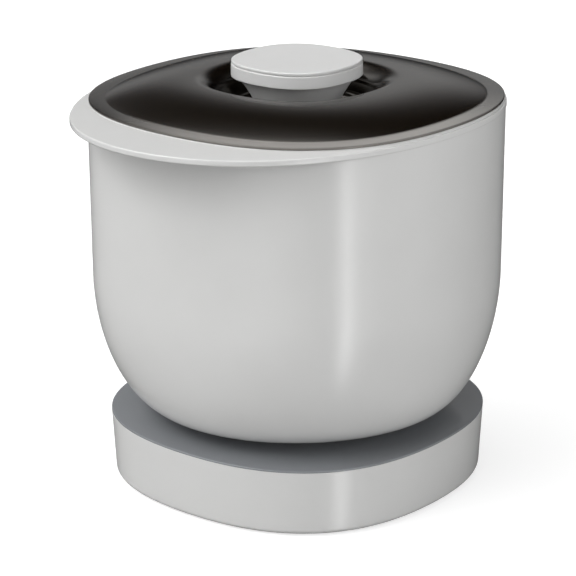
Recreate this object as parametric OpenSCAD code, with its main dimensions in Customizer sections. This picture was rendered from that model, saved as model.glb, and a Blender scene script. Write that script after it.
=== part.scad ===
// Rice and dry food storage bucket with a lift-off lid, on a low stand.
// Frame: +Z is up, the origin is on the bucket's axis at floor level, and the grip lip points along -Y.
// Every rounded-square form shares one outline law: half the width across the flats, and a corner reach
// that says how much further the outline stretches at its corners. A reach of 0 is a circle.

/* [Outline] */
// How much further the rounded square reaches at its corners than at its flats
corner_reach = 0.06; // [0.03:0.002:0.1]

/* [Bucket] */
// Half the width across the flats, at the rim
wall_half = 115.8; // [100:0.2:135]
// Height of the bucket from the underside of its round bottom to the top of its rim
bucket_h = 184.2; // [170:0.2:240]
// Thickness of the bucket's wall
wall_t = 2.5; // [2:0.1:3.5]
// How far the side leans in on its way down, in degrees
wall_lean = 0.25; // [0.1:0.05:1.5]
// Half the width of the flat underside
bottom_half = 83.1; // [76:0.1:92]
// Height over which the side rounds into the underside
round_h = 78.4; // [60:0.2:90]
// Fullness of that round: 2 is an ellipse, more is squarer
round_full = 2.36; // [2:0.01:3]
// Corner reach at the underside, where the form is almost a circle
bottom_reach = -0.015; // [-0.02:0.001:0.03]
// Outer radius of the foot ring under the bucket
foot_r = 60; // [52:1:66]
// Width of the foot ring
foot_w = 4; // [3:0.5:6]
// Height of the foot ring
foot_h = 6.7; // [4:0.1:8]

/* [Rim and grip lip] */
// Thickness of the rim flange
flange_t = 3.5; // [3:0.1:5]
// How far the flange stands out past the wall
flange_out = 0.4; // [0.3:0.1:2]
// How far the flange's top lies below the land that the lid rests on
flange_drop = 1.4; // [0.6:0.1:2.5]
// Width of that land round the mouth
land_w = 1.5; // [1:0.1:2]
// Radius of the round that forms the grip lip
lip_r = 103.8; // [96:0.1:106]
// How far the middle of that round lies in front of the axis
lip_shift = 42.1; // [34:0.1:48]
// Softness with which the lip runs out into the flange
lip_blend = 12; // [6:1:20]

/* [Lid] */
// How far the lid's edge lies in from the bucket's wall
lid_inset = 0.8; // [0.2:0.1:1.2]
// Thickness of the lid's wall
lid_t = 2.2; // [1.8:0.1:2.8]
// Height of the lid's outer edge
lid_edge = 1.3; // [1:0.1:2]
// Width of the sloped ledge around the lid
ledge_w = 9.5; // [6:0.1:12]
// Rise of that ledge from the lid's edge inwards
ledge_rise = 0.2; // [0.1:0.1:2.5]
// Height of the low dome above the ledge
dome_h = 9.8; // [7:0.2:13]
// Half the width of the well, at the crest of the dome around it
crest_half = 57; // [54:0.5:62]
// Radius of the turn from the well's wall into its round floor
floor_round = 6; // [4:0.5:8]
// Depth of the well below the crest
well_h = 21.7; // [19:0.1:26]
// Width of the soft roll from the crest into the well
roll_w = 11; // [8:0.5:13]

/* [Seal] */
// Gap between the seal and the bucket's wall
seal_gap = 0.3; // [0.25:0.05:0.6]
// Width of the seal ring
seal_w = 13.4; // [11:0.2:16]
// Depth of the seal ring below the rim
seal_h = 10; // [8:0.5:13]
// Thickness of the rib on the lid that carries the seal
rib_t = 2.4; // [2:0.1:3]
// Depth of that rib below the rim
rib_h = 6.6; // [5:0.2:7]

/* [Knob] */
// Half the width of the knob's head
knob_half = 36.5; // [34:0.5:40]
// Height of the knob's upright band
band_h = 7.8; // [6:0.1:10]
// Thickness of the cap plate on top of the knob
cap_t = 2.1; // [1.6:0.1:3]
// Gap in height between the crest of the lid and the underside of the knob's band
knob_lift = 1.2; // [1:0.1:6]
// How far the neck's top lies in from the head's sides
neck_inset = 3.6; // [3:0.1:6]
// Radius of the neck where it stands on its washer
neck_foot = 23; // [20:0.5:26]
// How hollow the neck's taper is: 1 is a straight cone
neck_flare = 1.4; // [1:0.1:2]
// Thickness of the knob's wall
knob_t = 2.4; // [2:0.1:3]
// Radius of the threaded spigot that passes through the lid
spigot_r = 8; // [6.5:0.1:9.5]
// Thickness of the washer under the neck
washer_t = 1.5; // [1:0.1:2.5]

/* [Desiccant cage] */
// Outer radius of the cage's upright band
cage_r = 27.6; // [26:0.2:29]
// Wall thickness of the cage
cage_t = 1.6; // [1.4:0.1:2]
// Height of the cage
cage_h = 33; // [28:0.5:40]
// Height of the upright band, above the domed end
band_cage_h = 13; // [11:0.5:15]
// Radius of the flat end of the dome
cage_end_r = 12.5; // [10:0.5:15]
// Number of slots round the dome
slot_count = 20; // [12:1:24]
// Width of a slot
slot_w = 1.9; // [1.4:0.1:2.4]
// Number of round holes in the flat end
hole_count = 8; // [4:1:10]
// Radius of a round hole
hole_r = 1.1; // [0.8:0.1:1.4]
// Angle that each bayonet lug spans, in degrees
lug_arc = 40; // [30:1:50]

/* [Stand] */
// Half the width of the stand at its rim
stand_half = 106.9; // [98:0.1:125]
// How much narrower the stand is at the floor, each side
stand_lean = 2; // [1:0.2:8]
// Height of the stand's top face above the floor
stand_h = 41.5; // [34:0.1:60]
// Radius of the round along the stand's bottom edge
stand_round = 3.2; // [2.6:0.1:8]
// Thickness of the stand's tray
tray_t = 2.6; // [2.2:0.1:4]
// Visible thickness of the dark plate's edge
plate_edge = 1.2; // [0.8:0.1:2.5]
// Thickness of the dark plate
plate_t = 3.2; // [2.6:0.1:4]
// Height of the disc on the plate that locates the foot ring
locator_h = 3; // [2:0.2:3.6]
// Radius of a rubber pad
pad_r = 9; // [7:0.5:12]
// How far a pad stands out below the tray
pad_out = 1; // [0.6:0.1:3]
// How far a pad's centre lies in from the stand's flats at the floor
pad_inset = 40; // [36:1:48]
// Radius of a screw's shank
screw_r = 1.7; // [1.5:0.1:2.2]
// Length of a screw's thread in the dark plate's post
screw_grip = 9; // [7:0.5:12]

/* [Hidden] */

// Points round a lofted ring, a multiple of 8 so that corners and flats have their own points
around = 56;
knob_around = 48;
round_fn = 72;
bore_fn = 48;
// Clearance between pieces that are pushed or laid together
fit = 0.15;
// Clearance between pieces that move on each other
run = 0.3;
// Height that a cut runs past the face it opens
past = 1;
// Clearance between a thread's crests, which are left plain
thread_gap = 0.05;
// How the bucket's round, its corner reach and the lid's dome set in: below 1 early, above 1 late
round_start = 0.9;
reach_fade = 1.6;
dome_start = 0.85;

white = [0.83, 0.83, 0.82];
smoke = [0.22, 0.2, 0.19];
dark = [0.3, 0.31, 0.33];
orange = [0.96, 0.52, 0.24];
clear = [0.55, 0.52, 0.48];
steel = [0.7, 0.7, 0.72];
rubber = [0.15, 0.15, 0.15];

// Heights of the bucket and the lid, from the floor up
bucket_z = stand_h + foot_h;
rim_z = bucket_z + bucket_h;
round_z = bucket_z + round_h;
edge_z = rim_z + lid_edge;
ledge_z = edge_z + ledge_rise;
crest_z = ledge_z + dome_h;
floor_z = crest_z - well_h;
boss_z = floor_z - lid_t;

// Heights of the knob, and half the width of its neck where it meets the head
neck_z = floor_z + washer_t;
band_z = crest_z + knob_lift;
seam_z = band_z + band_h;
neck_top = knob_half - neck_inset;

// Half widths of the bucket and the lid
wall_foot_half = wall_half - (rim_z - round_z) * tan(wall_lean);
mouth_half = wall_half - wall_t;
flange_half = wall_half + flange_out;
lid_half = wall_half - lid_inset;
land_half = mouth_half + land_w;
ledge_half = lid_half - ledge_w;
well_half = crest_half - roll_w;
well_draft = 2;
foot_spread = 1;
locator_r = foot_r - foot_w - foot_spread - run;
floor_r = well_half - well_draft - floor_round;

// Half widths of the seal and of what holds it
seal_half = mouth_half - seal_gap - seal_h * tan(wall_lean);
seal_in = seal_half - seal_w;
rib_out = (seal_half + seal_in + rib_t) / 2;
rib_in = rib_out - rib_t;

// The collar hangs under the well, and the cage hangs on the collar's lugs
lug_t = 1.8;
collar_web = 2.4;
collar_h = 9;
cage_in = cage_r - cage_t;
collar_r = cage_in - lug_t - run;
cage_top_z = boss_z - run;
cage_low_z = cage_top_z - cage_h;
collar_low_z = boss_z - collar_h;
hub_lift = 2;
spigot_low_z = collar_low_z + hub_lift;
dome_top_z = cage_top_z - band_cage_h;

// The stand: its tray, the plate that closes it, its pads and its screws
plate_low_z = stand_h - plate_edge;
plate_under_z = stand_h - plate_t;
tray_z = pad_out;
tray_floor_z = tray_z + tray_t;
stand_foot_half = stand_half - stand_lean;
plate_in_half = stand_side(plate_under_z) - tray_t - fit;
pad_at = stand_foot_half - pad_inset;
pad_recess = 1;
head_r = 3.4;
head_t = 2.2;
head_z = tray_z + pad_recess + fit;
post_r = 5;
tray_post_r = 6;
post_z = (tray_floor_z + plate_under_z) / 2;
pad_places = [[1, 1], [-1, 1], [-1, -1], [1, -1]];

// How far an outline reaches at an angle, as a share of its half width
function reach(k, phi) = 1 + k * (1 - cos(4 * phi)) / 2;

// Distance from the axis, at an angle, of the round that forms the lip
function lip_at(r, phi) = sqrt(pow(r, 2) - pow(lip_shift * cos(phi), 2)) - lip_shift * sin(phi);

// The larger of two lengths, with a soft passage between them
function soft_max(p, q, k) = max(p, q) + pow(max(k - abs(p - q), 0) / k, 2) * k / 4;

// A ring is [half width, corner reach, height], with the radius of the lip's round added on the flange
function radius(g, phi) = len(g) > 3
    ? soft_max(g[0] * reach(g[1], phi), lip_at(g[3], phi), lip_blend)
    : g[0] * reach(g[1], phi);
function ring(g, n) = [for (i = [0 : n - 1])
    let (phi = 360 * i / n, r = radius(g, phi)) [r * cos(phi), r * sin(phi), g[2]]];
function reversed(list) = [for (i = [len(list) - 1 : -1 : 0]) list[i]];

// Skins a list of rings. An open loft is capped at both ends, and a closed one runs round into itself.
module loft(rings, closed = false, n = around) {
    m = len(rings);
    points = [for (g = rings) each ring(g, n)];
    sides = [for (i = [0 : (closed ? m : m - 1) - 1], j = [0 : n - 1])
        let (a = i * n, b = ((i + 1) % m) * n, k = (j + 1) % n)
        each [[a + j, b + j, b + k], [a + j, b + k, a + k]]];
    caps = closed ? [] : [[for (j = [0 : n - 1]) j], [for (j = [n - 1 : -1 : 0]) (m - 1) * n + j]];
    polyhedron(points = points, faces = concat(sides, caps), convexity = 8);
}

// Corner reach of the bucket at a height: square at the walls, almost a circle at the underside
function bucket_reach(z) = z > round_z ? corner_reach
    : corner_reach + (bottom_reach - corner_reach) * pow((round_z - z) / round_h, reach_fade);

// Half width of the bucket at a share of its round, from 0 at the wall to 1 at the underside
function round_half(s) = bottom_half
    + (wall_foot_half - bottom_half) * pow(1 - pow(s, round_full), 1 / round_full);

// Rings of the rounded bottom from the underside up, drawn in by the thickness for the inside
function round_rings(t) = [for (a = [90 : -10 : 0])
    let (s = pow(sin(a), round_start), z = round_z - round_h * s)
    [round_half(s) - t, bucket_reach(z), z + t * s]];

module bucket() {
    edge = 0.8;
    heel = flange_out / 4;
    flange_top_z = rim_z - flange_drop;
    flange_low_z = flange_top_z - flange_t;
    foot_in = foot_r - foot_w;
    flange = [
        [wall_half, corner_reach, flange_low_z],
        [wall_half + heel, corner_reach, flange_low_z, lip_r - edge],
        [flange_half, corner_reach, flange_low_z + edge, lip_r],
        [flange_half, corner_reach, flange_top_z - edge, lip_r],
        [flange_half - edge, corner_reach, flange_top_z, lip_r - edge],
        [land_half, corner_reach, rim_z],
        [mouth_half, corner_reach, rim_z]];
    color(white) union() {
        loft(concat(round_rings(0), flange, reversed(round_rings(wall_t))));
        // Foot ring, rooted in the underside
        rotate_extrude($fn = round_fn)
            polygon([[foot_in, stand_h], [foot_r, stand_h],
                     [foot_r + foot_spread, bucket_z + wall_t / 2],
                     [foot_in - foot_spread, bucket_z + wall_t / 2]]);
    }
}

// Height of the dome's top face at a half width between the crest and the ledge
function dome_z(h) = ledge_z
    + dome_h * sin(90 * pow((ledge_half - h) / (ledge_half - crest_half), dome_start));
function dome_rings(from, t) = [for (s = [0, 0.2, 0.45, 0.7])
    let (h = from + (crest_half - from) * s) [h, corner_reach, dome_z(h) - t]];

// Corner reach of the well: as the lid at the crest, a circle at the floor
function well_reach(z) = corner_reach * max(0, z - floor_z) / well_h;

// The roll from the crest into the well, and the turn into the well's floor, t below the top face
function roll_rings(t) = [for (a = [0 : 30 : 90])
    let (z = crest_z - roll_w + (roll_w - t) * cos(a))
    [crest_half - (roll_w - t) * sin(a), well_reach(z), z]];
function turn_rings(t) = [for (a = [90 : -30 : 0])
    let (z = floor_z + floor_round - (floor_round + t) * cos(a))
    [floor_r + (floor_round + t) * sin(a), well_reach(z), z]];

module lid() {
    soft = 0.4;
    step_t = 2;
    step_h = 4;
    step_out = seal_in - fit;
    step_in = step_out - step_t;
    under = concat(
        reversed(turn_rings(lid_t)), reversed(roll_rings(lid_t)), reversed(dome_rings(step_in, lid_t)),
        // Step that holds the seal from inside
        [[step_in, corner_reach, rim_z - step_h],
         [step_out, corner_reach, rim_z - step_h],
         [step_out, corner_reach, rim_z],
         // Rib that the seal is pushed onto
         [rib_in, corner_reach, rim_z],
         [rib_in, corner_reach, rim_z - rib_h],
         [rib_out, corner_reach, rim_z - rib_h],
         [rib_out, corner_reach, rim_z]]);
    top = concat(
        [[lid_half - soft, corner_reach, rim_z],
         [lid_half, corner_reach, rim_z + soft],
         [lid_half, corner_reach, edge_z - soft],
         [lid_half - soft, corner_reach, edge_z]],
        dome_rings(ledge_half, 0), roll_rings(0), turn_rings(0));
    color(smoke) difference() {
        loft(concat(under, top));
        translate([0, 0, boss_z - past])
            cylinder(h = lid_t + 2 * past, r = spigot_r + run, $fn = bore_fn);
    }
}

module lid_seal() {
    low_z = rim_z - seal_h;
    slot_z = rim_z - rib_h - fit;
    soft = 0.6;
    nose_w = 3.6;
    nose_t = 1.1;
    bevel = 1.6;
    color(orange) loft(closed = true, [
        [seal_half - nose_w, corner_reach, low_z],
        [seal_half - nose_t, corner_reach, low_z + nose_t],
        [seal_half, corner_reach, low_z + nose_w],
        [seal_half, corner_reach, rim_z - soft],
        [seal_half - soft, corner_reach, rim_z],
        [rib_out + fit, corner_reach, rim_z],
        [rib_out + fit, corner_reach, slot_z],
        [rib_in - fit, corner_reach, slot_z],
        [rib_in - fit, corner_reach, rim_z],
        [seal_in, corner_reach, rim_z],
        [seal_in, corner_reach, low_z + bevel],
        [seal_in + bevel, corner_reach, low_z]]);
}

// Half width of the knob's neck at a share of its height
function neck_half(s) = neck_foot + (neck_top - neck_foot) * pow(s, neck_flare);
function neck_rings(t, low_z) = [for (s = [0 : 0.2 : 1])
    [neck_half(s) - t, corner_reach * s, low_z + (band_z - low_z) * s]];

module knob() {
    soft = 0.6;
    under_rise = 0.2;
    band_draft = 0.1;
    outside = concat(neck_rings(0, neck_z), [
        [knob_half - soft, corner_reach, band_z + under_rise],
        [knob_half, corner_reach, band_z + under_rise + soft],
        [knob_half - band_draft, corner_reach, seam_z - soft],
        [knob_half - soft, corner_reach, seam_z]]);
    inside = concat(
        [[knob_half - knob_t, corner_reach, seam_z],
         [knob_half - knob_t, corner_reach, band_z + knob_t]],
        reversed(neck_rings(knob_t, neck_z + 2 * knob_t)));
    color(white) union() {
        loft(concat(outside, inside), n = knob_around);
        // Spigot through the washer, the lid and the collar
        translate([0, 0, spigot_low_z])
            cylinder(h = neck_z + knob_t - spigot_low_z, r = spigot_r, $fn = bore_fn);
    }
}

module knob_cap() {
    plug_h = 1.6;
    plug_half = knob_half - knob_t - fit;
    cap_half = knob_half - 0.3;
    seam_soft = 0.5;
    top_soft = 0.8;
    top_z = seam_z + cap_t;
    color(white) loft(n = knob_around, [
        [plug_half, corner_reach, seam_z - plug_h],
        [plug_half, corner_reach, seam_z],
        [cap_half - seam_soft, corner_reach, seam_z],
        [cap_half, corner_reach, seam_z + seam_soft],
        [cap_half, corner_reach, top_z - top_soft],
        [cap_half - 0.3 * top_soft, corner_reach, top_z - 0.3 * top_soft],
        [cap_half - top_soft, corner_reach, top_z]]);
}

module tube(low_z, high_z, r_in, r_out, angle = 360) {
    rotate_extrude(angle = angle, $fn = round_fn)
        polygon([[r_in, low_z], [r_out, low_z], [r_out, high_z], [r_in, high_z]]);
}

module knob_washer() {
    washer_in = 1;
    color(rubber) tube(floor_z, neck_z, spigot_r + run, neck_foot - washer_in);
}

// Three bayonet lugs round the axis, a third of a turn apart
module lugs(low_z, r_in, r_out) {
    for (a = [0 : 120 : 240])
        rotate([0, 0, a - lug_arc / 2]) tube(low_z, low_z + lug_t, r_in, r_out, lug_arc);
}

module cage_collar() {
    sleeve_t = 2;
    hub_t = 3;
    thread_r = spigot_r + thread_gap;
    color(clear) union() {
        tube(boss_z - collar_web, boss_z, thread_r, collar_r);
        tube(collar_low_z, boss_z - collar_web, collar_r - sleeve_t, collar_r);
        tube(spigot_low_z, boss_z - collar_web, thread_r, spigot_r + hub_t);
        lugs(collar_low_z, collar_r - sleeve_t / 2, collar_r + lug_t - run);
    }
}

module desiccant_cage() {
    rim_out = 2;
    rim_soft = 0.4;
    slot_rim = 1.5;
    slot_in = cage_end_r + slot_rim;
    slot_rise = 3;
    hole_ring = cage_end_r * 0.55;
    // Domed profile from the flat end to the band, offset inwards by the wall
    outer = [for (a = [0 : 15 : 90])
        [cage_end_r + (cage_r - cage_end_r) * sin(a), dome_top_z - (dome_top_z - cage_low_z) * cos(a)]];
    inner = [for (a = [90 : -15 : 0])
        [cage_end_r - cage_t / 2 + (cage_in - cage_end_r + cage_t / 2) * sin(a),
         dome_top_z - (dome_top_z - cage_low_z - cage_t) * cos(a)]];
    color(clear) union() {
        difference() {
            rotate_extrude($fn = round_fn) polygon(concat(
                [[0, cage_low_z]], outer,
                [[cage_r, cage_top_z - rim_out], [cage_r + rim_out, cage_top_z - rim_out + rim_soft],
                 [cage_r + rim_out, cage_top_z], [cage_in, cage_top_z]],
                inner, [[0, cage_low_z + cage_t]]));
            for (i = [0 : slot_count - 1])
                rotate([0, 0, 360 * (i + 0.5) / slot_count])
                    translate([slot_in, -slot_w / 2, cage_low_z - past])
                        cube([cage_r - slot_in + past, slot_w, dome_top_z + slot_rise - cage_low_z + past]);
            for (i = [0 : hole_count - 1])
                rotate([0, 0, 360 * i / hole_count])
                    translate([hole_ring, 0, cage_low_z - past])
                        cylinder(h = cage_t + 2 * past, r = hole_r, $fn = 24);
        }
        lugs(collar_low_z + lug_t + run, collar_r + run, cage_in + cage_t / 2);
    }
}

// Half width of the stand's side at a height above the tray's underside
function stand_side(z) = stand_foot_half + stand_lean * (z - tray_z) / (plate_low_z - tray_z);

module at_pads() {
    for (p = pad_places) translate([p[0] * pad_at, p[1] * pad_at, 0]) children();
}

module base_shell() {
    turn = [for (a = [0 : 30 : 90]) let (z = tray_z + stand_round * (1 - cos(a)))
        [stand_side(z) - stand_round * (1 - sin(a)), corner_reach, z]];
    inner_low_z = tray_floor_z + stand_round / 2;
    color(white) difference() {
        union() {
            loft(concat(turn, [
                [stand_half, corner_reach, plate_low_z],
                [stand_half - tray_t, corner_reach, plate_low_z],
                [stand_side(inner_low_z) - tray_t, corner_reach, inner_low_z],
                [stand_side(inner_low_z) - tray_t - stand_round / 2, corner_reach, tray_floor_z]]));
            at_pads() translate([0, 0, tray_floor_z - tray_t / 2])
                cylinder(h = post_z - tray_floor_z + tray_t / 2, r = tray_post_r, $fn = bore_fn);
        }
        at_pads() {
            translate([0, 0, tray_z - past]) {
                cylinder(h = pad_recess + past, r = pad_r + fit, $fn = bore_fn);
                cylinder(h = head_z + head_t - tray_z + past, r = head_r + run, $fn = bore_fn);
                cylinder(h = post_z - tray_z + 2 * past, r = screw_r + run, $fn = bore_fn);
            }
        }
    }
}

module base_top() {
    soft = 0.6;
    low_soft = 0.3;
    color(dark) difference() {
        union() {
            loft([
                [plate_in_half, corner_reach, plate_under_z],
                [plate_in_half, corner_reach, plate_low_z],
                [stand_half - low_soft, corner_reach, plate_low_z],
                [stand_half, corner_reach, plate_low_z + low_soft],
                [stand_half, corner_reach, stand_h - soft],
                [stand_half - soft, corner_reach, stand_h]]);
            translate([0, 0, stand_h - plate_t / 2])
                cylinder(h = locator_h + plate_t / 2, r = locator_r, $fn = round_fn);
            at_pads() translate([0, 0, post_z])
                cylinder(h = plate_under_z - post_z + plate_t / 2, r = post_r, $fn = bore_fn);
        }
        at_pads() translate([0, 0, post_z - past])
            cylinder(h = screw_grip + 2 * past, r = screw_r + thread_gap, $fn = bore_fn);
    }
}

// A rubber pad in its recess under the tray
module base_foot(i) {
    bevel = 0.6;
    p = pad_places[i - 1];
    color(rubber) translate([p[0] * pad_at, p[1] * pad_at, 0])
        rotate_extrude($fn = bore_fn)
            polygon([[0, 0], [pad_r - bevel, 0], [pad_r, bevel], [pad_r, tray_z + pad_recess],
                     [0, tray_z + pad_recess]]);
}

module base_screws() {
    color(steel) at_pads() {
        translate([0, 0, head_z]) cylinder(h = head_t, r = head_r, $fn = bore_fn);
        translate([0, 0, head_z + head_t])
            cylinder(h = post_z + screw_grip - head_z - head_t, r = screw_r, $fn = bore_fn);
    }
}

base_shell();
base_top();
base_foot(1);  // base_foot_1
base_foot(2);  // base_foot_2
base_foot(3);  // base_foot_3
base_foot(4);  // base_foot_4
base_screws();
bucket();
lid();
lid_seal();
knob();
knob_cap();
knob_washer();
cage_collar();
desiccant_cage();
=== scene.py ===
"""Looks of a rice and dry food storage bucket: smooth shells, a smoke-tinted lid with its orange seal,
satin white and dark mouldings, and a pale studio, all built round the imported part."""

import bpy
import numpy as np
from bpy.props import FloatProperty, FloatVectorProperty, IntProperty, PointerProperty
from mathutils import Matrix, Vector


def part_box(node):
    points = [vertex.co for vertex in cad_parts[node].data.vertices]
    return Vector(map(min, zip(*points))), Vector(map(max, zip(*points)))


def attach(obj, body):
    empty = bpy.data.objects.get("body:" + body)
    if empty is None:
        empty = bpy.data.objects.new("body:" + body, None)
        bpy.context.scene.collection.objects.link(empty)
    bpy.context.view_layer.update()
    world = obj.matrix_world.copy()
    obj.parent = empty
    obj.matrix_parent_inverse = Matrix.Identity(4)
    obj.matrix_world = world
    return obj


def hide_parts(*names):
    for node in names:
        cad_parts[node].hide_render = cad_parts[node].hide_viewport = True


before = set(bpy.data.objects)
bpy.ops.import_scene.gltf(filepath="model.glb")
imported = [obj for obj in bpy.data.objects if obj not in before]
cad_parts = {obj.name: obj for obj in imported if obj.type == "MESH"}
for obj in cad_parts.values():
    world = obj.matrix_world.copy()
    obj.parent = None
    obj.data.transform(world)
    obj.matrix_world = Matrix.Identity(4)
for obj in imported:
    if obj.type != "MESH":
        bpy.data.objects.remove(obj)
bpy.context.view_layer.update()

bl_info = {
    "name": "Storage Bucket Looks",
    "version": (1, 0, 0),
    "blender": (4, 5, 0),
    "location": "3D View > Sidebar > Bucket",
    "description": "Builds the surfaces, finishes and studio of a storage bucket round its fixed frame",
    "category": "Object",
}

HALF, HEIGHT, REACH, SOFT, LIP, SATIN = range(6)  # columns of a profile, in the order that rows() gives
SHARP = np.radians(40)  # an edge that turns further than this stays sharp
PADS = range(1, 5)


def top_of(node):
    """Height of a CAD node's highest point."""
    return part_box(node)[1].z


def foot_of(node):
    """Height of a CAD node's lowest point."""
    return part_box(node)[0].z


def half_of(node):
    """Half the width of a CAD node, from the axis to its right side."""
    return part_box(node)[1].x


def length(name, description, default):
    return FloatProperty(name=name, description=description, default=default,
                         unit="LENGTH", subtype="DISTANCE", precision=4)


def angle(name, description, degrees):
    return FloatProperty(name=name, description=description, default=np.radians(degrees),
                         unit="ROTATION", subtype="ANGLE")


def number(name, description, default):
    return FloatProperty(name=name, description=description, default=default)


def colour(name, description, default):
    return FloatVectorProperty(name=name, description=description, default=default,
                               subtype="COLOR", size=3, min=0, max=1)


class SharedSettings(bpy.types.PropertyGroup):
    corner_reach: number("Corner Reach", "How much further out the corners reach than the flats", 0.06)
    fit: length("Fit", "Clearance between pieces that fit into each other", 0.00015)
    around: IntProperty(name="Points Around", description="Points round a large shell", default=256)
    edge_steps: IntProperty(name="Edge Steps", description="Steps over a softened edge", default=4)


class BucketSettings(bpy.types.PropertyGroup):
    rim_height: length("Rim Height", "Height of the rim above the floor", top_of("bucket"))
    foot_height: length("Foot Height", "Height of the foot ring's lower face", foot_of("bucket"))
    flange_half: length("Flange Half Width", "Half the width across the rim flange", half_of("bucket"))
    flange_out: length("Flange Overhang", "How far the flange stands out past the wall", 0.0004)
    flange: length("Flange Thickness", "Thickness of the rim flange", 0.0035)
    flange_drop: length("Flange Drop", "How far the flange's top lies below the land under the lid", 0.0014)
    land: length("Land", "Width of that land round the mouth", 0.0015)
    flange_soft: length("Flange Edge", "Softness of the flange's outer edge", 0.0009)
    wall: length("Wall", "Thickness of the wall", 0.0025)
    wall_lean: angle("Wall Lean", "How far the side leans in on its way down", 0.25)
    bottom_half: length("Bottom Half Width", "Half the width of the flat underside", 0.0831)
    round_height: length("Round Height", "Height over which the side rounds into the underside", 0.0784)
    round_fullness: number("Round Fullness", "2 is an ellipse, more is squarer", 2.36)
    reach_fade: number("Reach Fade", "How late the corners round off on the way down", 1.6)
    bottom_reach: number("Bottom Reach", "Corner reach at the underside", -0.015)
    foot_radius: length("Foot Radius", "Outer radius of the foot ring", 0.06)
    foot_width: length("Foot Width", "Width of the foot ring", 0.004)
    foot_depth: length("Foot Depth", "Height of the foot ring", 0.0067)
    lip_radius: length("Lip Radius", "Radius of the round that forms the grip lip", 0.1038)
    lip_shift: length("Lip Shift", "How far that round's middle lies in front of the axis", 0.0421)
    lip_blend: length("Lip Blend", "Softness with which the lip runs out into the flange", 0.012)

    @property
    def wall_half(self):
        """Half the width across the wall, right below the flange."""
        return self.flange_half - self.flange_out

    @property
    def under_height(self):
        """Height of the flat underside, which the foot ring holds up."""
        return self.foot_height + self.foot_depth


class LidSettings(bpy.types.PropertyGroup):
    lid_half: length("Lid Half Width", "Half the width across the lid", half_of("lid"))
    crest_height: length("Crest Height", "Height of the dome's crest", top_of("lid"))
    well_floor: length("Well Floor", "Height of the well's floor", foot_of("knob_washer"))
    wall: length("Lid Wall", "Thickness of the lid", 0.0022)
    edge: length("Lid Edge", "Height of the lid's outer edge", 0.0013)
    ledge_width: length("Ledge Width", "Width of the sloped ledge", 0.0095)
    ledge_rise: length("Ledge Rise", "Rise of the ledge from the edge inwards", 0.0002)
    crest_half: length("Crest Half Width", "Half the width of the crest round the well", 0.057)
    dome_start: number("Dome Start", "Below 1 the dome rises early, above 1 late", 0.85)
    roll: length("Roll", "Radius of the soft roll from the crest into the well", 0.011)
    well_draft: length("Well Draft", "How far the well narrows below the roll", 0.002)
    floor_round: length("Floor Round", "Radius of the turn into the well's floor", 0.006)
    rib: length("Rib", "Thickness of the rib that carries the seal", 0.0024)
    rib_depth: length("Rib Depth", "Depth of that rib below the rim", 0.0066)
    step: length("Step", "Thickness of the step inside the seal", 0.002)
    step_depth: length("Step Depth", "Depth of that step below the rim", 0.004)
    # side where the ledge's painted light is fullest: its lighter tone fades from here to nothing at the
    # back, as if lit from the front
    painted_light_side: angle("Painted Light Side", "Where the ledge's fine grain is fullest, to the right of the front", 50)

    @property
    def ledge_half(self):
        """Half the width at the ledge's inner side, where the dome starts."""
        return self.lid_half - self.ledge_width


class SealSettings(bpy.types.PropertyGroup):
    seal_half: length("Seal Half Width", "Half the width across the seal", half_of("lid_seal"))
    low_height: length("Seal Low Height", "Height of the seal's lower face", foot_of("lid_seal"))
    width: length("Seal Width", "Width of the seal ring", 0.0134)
    nose: length("Nose", "How far the outer edge is cut back at the lower face", 0.0036)
    nose_lift: length("Nose Lift", "Where the cut-back edge bends", 0.0011)

    @property
    def inner_half(self):
        """Half the width of the opening in the ring."""
        return self.seal_half - self.width

    @property
    def middle_half(self):
        """Half the width along the middle of the ring, where the rib stands in it."""
        return (self.seal_half + self.inner_half) / 2


class KnobSettings(bpy.types.PropertyGroup):
    knob_half: length("Knob Half Width", "Half the width of the head", half_of("knob"))
    seam_height: length("Seam Height", "Height of the seam under the cap", top_of("knob"))
    spigot_foot: length("Spigot Foot", "Height of the spigot's lower end", foot_of("knob"))
    neck_height: length("Neck Height", "Height of the neck's foot on its washer", top_of("knob_washer"))
    cap_top: length("Cap Top", "Height of the cap's top face", top_of("knob_cap"))
    band: length("Band", "Height of the upright band", 0.0078)
    neck_inset: length("Neck Inset", "How far the neck's top lies in from the head's sides", 0.0036)
    neck_foot: length("Neck Foot", "Radius of the neck where it stands on its washer", 0.023)
    neck_flare: number("Neck Flare", "How hollow the neck's taper is", 1.4)
    wall: length("Knob Wall", "Thickness of the knob's wall", 0.0024)
    spigot: length("Spigot Radius", "Radius of the spigot through the lid", 0.008)
    around: IntProperty(name="Points Around", description="Points round the knob", default=192)

    @property
    def band_low(self):
        """Height of the band's lower edge, where the neck ends."""
        return self.seam_height - self.band


class StandSettings(bpy.types.PropertyGroup):
    stand_half: length("Stand Half Width", "Half the width at the rim", half_of("base_shell"))
    tray_height: length("Tray Height", "Height of the tray's underside", foot_of("base_shell"))
    plate_low: length("Plate Low", "Height of the lower edge of the plate's side", top_of("base_shell"))
    plate_top: length("Plate Top", "Height of the plate's top face", foot_of("bucket"))
    locator_top: length("Locator Top", "Height of the disc that locates the bucket", top_of("base_top"))
    post_low: length("Post Low", "Height at which the plate's posts meet the tray's", foot_of("base_top"))
    lean: length("Lean", "How much narrower the stand is at the floor, each side", 0.002)
    turn: length("Bottom Round", "Radius of the round along the bottom edge", 0.0032)
    tray: length("Tray Wall", "Thickness of the tray", 0.0026)
    plate: length("Plate", "Thickness of the dark plate", 0.0032)
    locator_radius: length("Locator Radius", "Radius of the locating disc", 0.0547)
    post_in: length("Post Radius", "Radius of a screw's bore in a post", 0.00175)
    post_out: length("Tray Post Radius", "Outer radius of a tray post", 0.006)


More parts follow.
